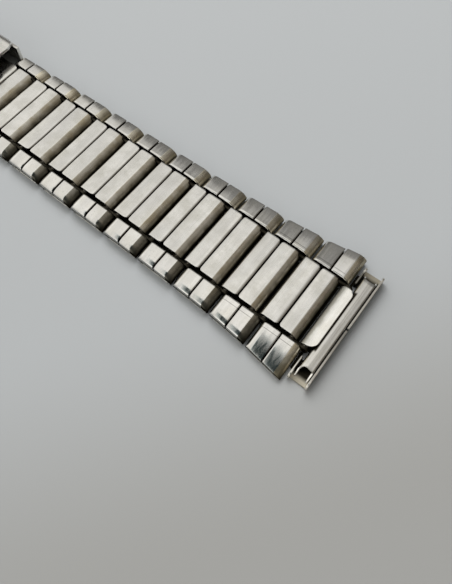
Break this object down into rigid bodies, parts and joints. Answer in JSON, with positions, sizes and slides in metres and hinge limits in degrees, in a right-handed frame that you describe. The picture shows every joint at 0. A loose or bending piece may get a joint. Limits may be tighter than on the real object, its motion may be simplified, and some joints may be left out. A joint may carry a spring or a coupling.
{
  "type": "watch bracelet",
  "caption": "Folded-sheet metal watch bracelet: hinged three-column links, a telescopic end piece at each end and a fold-over clasp with adjusting holes.",
  "frame": {"origin": "Under the middle of the straight, closed bracelet: the bottom centre of its bounding box, on the surface it lies on.", "axes": "+X runs along the band towards the long half's end piece, +Y across the band, +Z out of its face. The clasp is at -X of the middle."},
  "size_m": [0.1432, 0.0212, 0.004],
  "materials": {
    "side_links": "satin, lightly worn",
    "centre_links": "brushed across the band, lightly worn",
    "pins": "drawn wire",
    "end_hooks": "satin",
    "end_tubes": "satin, brushed along the tube",
    "sleeves": "dull satin",
    "clasp_cover": "brushed along the clasp",
    "blades": "polished, lightly scratched"
  },
  "bodies": {
    "clasp_cover": {"clasp_cover": "clasp_cover", "cover_hinge_pin": "pins", "spring_bar": "pins"},
    "adjuster_link": {"adjuster_link": "centre_links"},
    "long_row_10": {"long_side_link_10": "side_links", "long_link_pins_10": "pins"},
    "long_centre_09": {"long_centre_link_09": "centre_links"},
    "long_row_09": {"long_side_link_09": "side_links", "long_link_pins_09": "pins"},
    "long_centre_08": {"long_centre_link_08": "centre_links"},
    "long_row_08": {"long_side_link_08": "side_links", "long_link_pins_08": "pins"},
    "long_centre_07": {"long_centre_link_07": "centre_links"},
    "long_row_07": {"long_side_link_07": "side_links", "long_link_pins_07": "pins"},
    "long_centre_06": {"long_centre_link_06": "centre_links"},
    "long_row_06": {"long_side_link_06": "side_links", "long_link_pins_06": "pins"},
    "long_centre_05": {"long_centre_link_05": "centre_links"},
    "long_row_05": {"long_side_link_05": "side_links", "long_link_pins_05": "pins"},
    "long_centre_04": {"long_centre_link_04": "centre_links"},
    "long_row_04": {"long_side_link_04": "side_links", "long_link_pins_04": "pins"},
    "long_centre_03": {"long_centre_link_03": "centre_links"},
    "long_row_03": {"long_side_link_03": "side_links", "long_link_pins_03": "pins"},
    "long_centre_02": {"long_centre_link_02": "centre_links"},
    "long_row_02": {"long_side_link_02": "side_links", "long_link_pins_02": "pins"},
    "long_centre_01": {"long_centre_link_01": "centre_links"},
    "long_row_01": {"long_side_link_01": "side_links", "long_link_pins_01": "pins"},
    "long_end": {"long_end_hook": "end_hooks", "long_end_tube": "end_tubes"},
    "long_sleeve_a": {"long_end_sleeve_a": "sleeves"},
    "long_sleeve_b": {"long_end_sleeve_b": "sleeves"},
    "upper_blade": {"upper_blade": "blades"},
    "lower_blade": {"lower_blade": "blades", "blade_hinge_pin": "pins", "blade_end_pin": "pins"},
    "short_centre_05": {"short_centre_link_05": "centre_links"},
    "short_row_05": {"short_side_link_05": "side_links", "short_link_pins_05": "pins"},
    "short_centre_04": {"short_centre_link_04": "centre_links"},
    "short_row_04": {"short_side_link_04": "side_links", "short_link_pins_04": "pins"},
    "short_centre_03": {"short_centre_link_03": "centre_links"},
    "short_row_03": {"short_side_link_03": "side_links", "short_link_pins_03": "pins"},
    "short_centre_02": {"short_centre_link_02": "centre_links"},
    "short_row_02": {"short_side_link_02": "side_links", "short_link_pins_02": "pins"},
    "short_centre_01": {"short_centre_link_01": "centre_links"},
    "short_row_01": {"short_side_link_01": "side_links", "short_link_pins_01": "pins"},
    "short_end": {"short_end_hook": "end_hooks", "short_end_tube": "end_tubes"},
    "short_sleeve_a": {"short_end_sleeve_a": "sleeves"},
    "short_sleeve_b": {"short_end_sleeve_b": "sleeves"}
  },
  "joints": [
    {"name": "adjuster_hinge", "type": "hinge", "parent": "clasp_cover", "child": "adjuster_link", "pos_m": [-0.00125, 0, 0.00085], "axis": [0, 1, 0], "range_deg": [-10, 12]},
    {"name": "long_side_hinge_10", "type": "hinge", "parent": "adjuster_link", "child": "long_row_10", "pos_m": [0.00775, 0, 0.00085], "axis": [0, 1, 0], "range_deg": [-10, 12]},
    {"name": "long_centre_hinge_09", "type": "hinge", "parent": "long_row_10", "child": "long_centre_09", "pos_m": [0.00975, 0, 0.00085], "axis": [0, 1, 0], "range_deg": [-10, 12]},
    {"name": "long_side_hinge_09", "type": "hinge", "parent": "long_centre_09", "child": "long_row_09", "pos_m": [0.01425, 0, 0.00085], "axis": [0, 1, 0], "range_deg": [-10, 12]},
    {"name": "long_centre_hinge_08", "type": "hinge", "parent": "long_row_09", "child": "long_centre_08", "pos_m": [0.01625, 0, 0.00085], "axis": [0, 1, 0], "range_deg": [-10, 12]},
    {"name": "long_side_hinge_08", "type": "hinge", "parent": "long_centre_08", "child": "long_row_08", "pos_m": [0.02075, 0, 0.00085], "axis": [0, 1, 0], "range_deg": [-10, 12]},
    {"name": "long_centre_hinge_07", "type": "hinge", "parent": "long_row_08", "child": "long_centre_07", "pos_m": [0.02275, 0, 0.00085], "axis": [0, 1, 0], "range_deg": [-10, 12]},
    {"name": "long_side_hinge_07", "type": "hinge", "parent": "long_centre_07", "child": "long_row_07", "pos_m": [0.02725, 0, 0.00085], "axis": [0, 1, 0], "range_deg": [-10, 12]},
    {"name": "long_centre_hinge_06", "type": "hinge", "parent": "long_row_07", "child": "long_centre_06", "pos_m": [0.02925, 0, 0.00085], "axis": [0, 1, 0], "range_deg": [-10, 12]},
    {"name": "long_side_hinge_06", "type": "hinge", "parent": "long_centre_06", "child": "long_row_06", "pos_m": [0.03375, 0, 0.00085], "axis": [0, 1, 0], "range_deg": [-10, 12]},
    {"name": "long_centre_hinge_05", "type": "hinge", "parent": "long_row_06", "child": "long_centre_05", "pos_m": [0.03575, 0, 0.00085], "axis": [0, 1, 0], "range_deg": [-10, 12]},
    {"name": "long_side_hinge_05", "type": "hinge", "parent": "long_centre_05", "child": "long_row_05", "pos_m": [0.04025, 0, 0.00085], "axis": [0, 1, 0], "range_deg": [-10, 12]},
    {"name": "long_centre_hinge_04", "type": "hinge", "parent": "long_row_05", "child": "long_centre_04", "pos_m": [0.04225, 0, 0.00085], "axis": [0, 1, 0], "range_deg": [-10, 12]},
    {"name": "long_side_hinge_04", "type": "hinge", "parent": "long_centre_04", "child": "long_row_04", "pos_m": [0.04675, 0, 0.00085], "axis": [0, 1, 0], "range_deg": [-10, 12]},
    {"name": "long_centre_hinge_03", "type": "hinge", "parent": "long_row_04", "child": "long_centre_03", "pos_m": [0.04875, 0, 0.00085], "axis": [0, 1, 0], "range_deg": [-10, 12]},
    {"name": "long_side_hinge_03", "type": "hinge", "parent": "long_centre_03", "child": "long_row_03", "pos_m": [0.05325, 0, 0.00085], "axis": [0, 1, 0], "range_deg": [-10, 12]},
    {"name": "long_centre_hinge_02", "type": "hinge", "parent": "long_row_03", "child": "long_centre_02", "pos_m": [0.05525, 0, 0.00085], "axis": [0, 1, 0], "range_deg": [-10, 12]},
    {"name": "long_side_hinge_02", "type": "hinge", "parent": "long_centre_02", "child": "long_row_02", "pos_m": [0.05975, 0, 0.00085], "axis": [0, 1, 0], "range_deg": [-10, 12]},
    {"name": "long_centre_hinge_01", "type": "hinge", "parent": "long_row_02", "child": "long_centre_01", "pos_m": [0.06175, 0, 0.00085], "axis": [0, 1, 0], "range_deg": [-10, 12]},
    {"name": "long_side_hinge_01", "type": "hinge", "parent": "long_centre_01", "child": "long_row_01", "pos_m": [0.06625, 0, 0.00085], "axis": [0, 1, 0], "range_deg": [-10, 12]},
    {"name": "long_end_hinge", "type": "hinge", "parent": "long_row_01", "child": "long_end", "pos_m": [0.06825, 0, 0.00085], "axis": [0, 1, 0], "range_deg": [-10, 12]},
    {"name": "long_sleeve_a_slide", "type": "slide", "parent": "long_end", "child": "long_sleeve_a", "axis": [0, -1, 0], "range_m": [0, 0.00135]},
    {"name": "long_sleeve_b_slide", "type": "slide", "parent": "long_end", "child": "long_sleeve_b", "axis": [0, 1, 0], "range_m": [0, 0.00135]},
    {"name": "cover_hinge", "type": "hinge", "parent": "clasp_cover", "child": "upper_blade", "pos_m": [-0.03395, 0, 0.0023], "axis": [0, 1, 0], "range_deg": [0, 120]},
    {"name": "blade_hinge", "type": "hinge", "parent": "upper_blade", "child": "lower_blade", "pos_m": [-0.00995, 0, 0.001], "axis": [0, -1, 0], "range_deg": [0, 150]},
    {"name": "short_centre_hinge_05", "type": "hinge", "parent": "lower_blade", "child": "short_centre_05", "pos_m": [-0.03575, 0, 0.00085], "axis": [0, -1, 0], "range_deg": [-10, 12]},
    {"name": "short_side_hinge_05", "type": "hinge", "parent": "short_centre_05", "child": "short_row_05", "pos_m": [-0.04025, 0, 0.00085], "axis": [0, -1, 0], "range_deg": [-10, 12]},
    {"name": "short_centre_hinge_04", "type": "hinge", "parent": "short_row_05", "child": "short_centre_04", "pos_m": [-0.04225, 0, 0.00085], "axis": [0, -1, 0], "range_deg": [-10, 12]},
    {"name": "short_side_hinge_04", "type": "hinge", "parent": "short_centre_04", "child": "short_row_04", "pos_m": [-0.04675, 0, 0.00085], "axis": [0, -1, 0], "range_deg": [-10, 12]},
    {"name": "short_centre_hinge_03", "type": "hinge", "parent": "short_row_04", "child": "short_centre_03", "pos_m": [-0.04875, 0, 0.00085], "axis": [0, -1, 0], "range_deg": [-10, 12]},
    {"name": "short_side_hinge_03", "type": "hinge", "parent": "short_centre_03", "child": "short_row_03", "pos_m": [-0.05325, 0, 0.00085], "axis": [0, -1, 0], "range_deg": [-10, 12]},
    {"name": "short_centre_hinge_02", "type": "hinge", "parent": "short_row_03", "child": "short_centre_02", "pos_m": [-0.05525, 0, 0.00085], "axis": [0, -1, 0], "range_deg": [-10, 12]},
    {"name": "short_side_hinge_02", "type": "hinge", "parent": "short_centre_02", "child": "short_row_02", "pos_m": [-0.05975, 0, 0.00085], "axis": [0, -1, 0], "range_deg": [-10, 12]},
    {"name": "short_centre_hinge_01", "type": "hinge", "parent": "short_row_02", "child": "short_centre_01", "pos_m": [-0.06175, 0, 0.00085], "axis": [0, -1, 0], "range_deg": [-10, 12]},
    {"name": "short_side_hinge_01", "type": "hinge", "parent": "short_centre_01", "child": "short_row_01", "pos_m": [-0.06625, 0, 0.00085], "axis": [0, -1, 0], "range_deg": [-10, 12]},
    {"name": "short_end_hinge", "type": "hinge", "parent": "short_row_01", "child": "short_end", "pos_m": [-0.06825, 0, 0.00085], "axis": [0, -1, 0], "range_deg": [-10, 12]},
    {"name": "short_sleeve_a_slide", "type": "slide", "parent": "short_end", "child": "short_sleeve_a", "axis": [0, 1, 0], "range_m": [0, 0.00135]},
    {"name": "short_sleeve_b_slide", "type": "slide", "parent": "short_end", "child": "short_sleeve_b", "axis": [0, -1, 0], "range_m": [0, 0.00135]}
  ]
}
